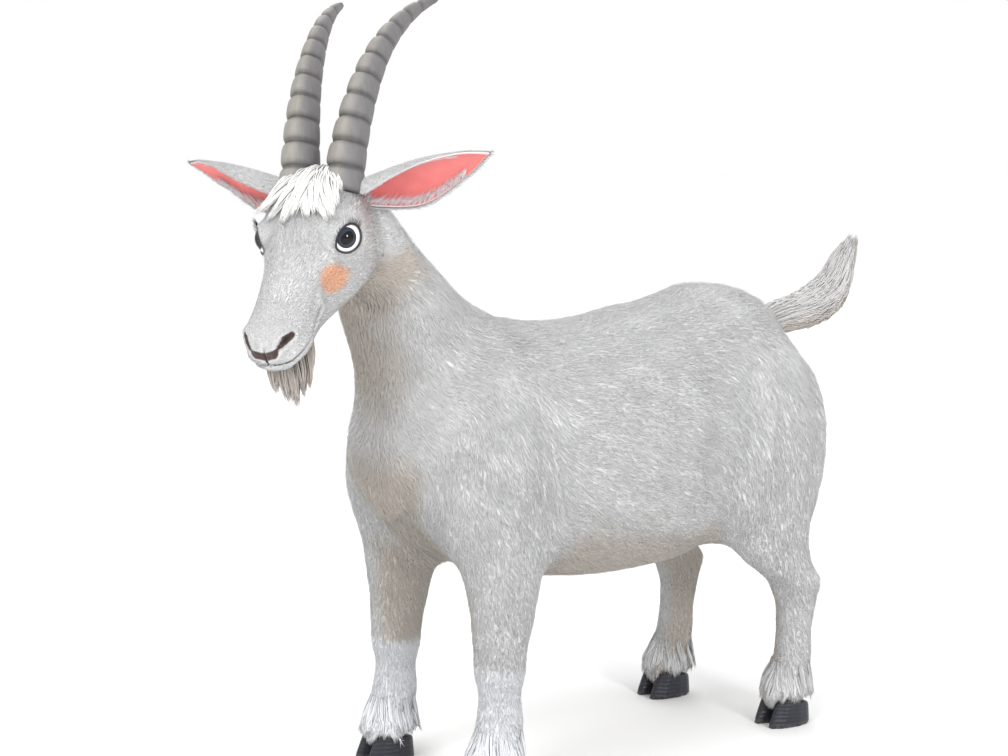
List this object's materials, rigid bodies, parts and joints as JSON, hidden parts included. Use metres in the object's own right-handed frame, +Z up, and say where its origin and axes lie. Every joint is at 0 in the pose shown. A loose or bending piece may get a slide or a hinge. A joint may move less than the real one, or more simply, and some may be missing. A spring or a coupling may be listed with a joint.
{
  "type": "goat",
  "caption": "Small stocky domestic goat with swept-back ringed horns, chin beard and upturned tail, standing with its head turned to its left.",
  "frame": {"origin": "on the floor, under the middle of the whole goat's box in plan", "axes": "+Z up, body along X with the chest towards -X, the goat's left side towards -Y"},
  "size_m": [0.8278, 0.264, 0.7707],
  "materials": {
    "coat": "short grey hair",
    "stocking": "short whitish hair",
    "forelock": "long white hair",
    "beard": "long taupe hair",
    "horn": "ringed keratin, dull",
    "hoof": "dark slate keratin, satin",
    "eye": "wet"
  },
  "bodies": {
    "root": {"eye_left": "eye", "horn_left": "horn", "ear_left": "coat", "eye_right": "eye", "horn_right": "horn", "ear_right": "coat", "head": "coat", "beard": "beard", "forelock": "forelock", "foreleg_left_hoof_outer": "hoof", "foreleg_left_dewclaw_outer": "hoof", "foreleg_left_hoof_inner": "hoof", "foreleg_left_dewclaw_inner": "hoof", "foreleg_left_upper": "coat", "foreleg_left_shank": "stocking", "foreleg_right_hoof_outer": "hoof", "foreleg_right_dewclaw_outer": "hoof", "foreleg_right_hoof_inner": "hoof", "foreleg_right_dewclaw_inner": "hoof", "foreleg_right_upper": "coat", "foreleg_right_shank": "stocking", "hindleg_left_hoof_outer": "hoof", "hindleg_left_dewclaw_outer": "hoof", "hindleg_left_hoof_inner": "hoof", "hindleg_left_dewclaw_inner": "hoof", "hindleg_left_upper": "coat", "hindleg_left_shank": "coat", "hindleg_right_hoof_outer": "hoof", "hindleg_right_dewclaw_outer": "hoof", "hindleg_right_hoof_inner": "hoof", "hindleg_right_dewclaw_inner": "hoof", "hindleg_right_upper": "coat", "hindleg_right_shank": "coat", "torso": "coat", "neck": "coat", "tail": "coat"}
  },
  "joints": []
}
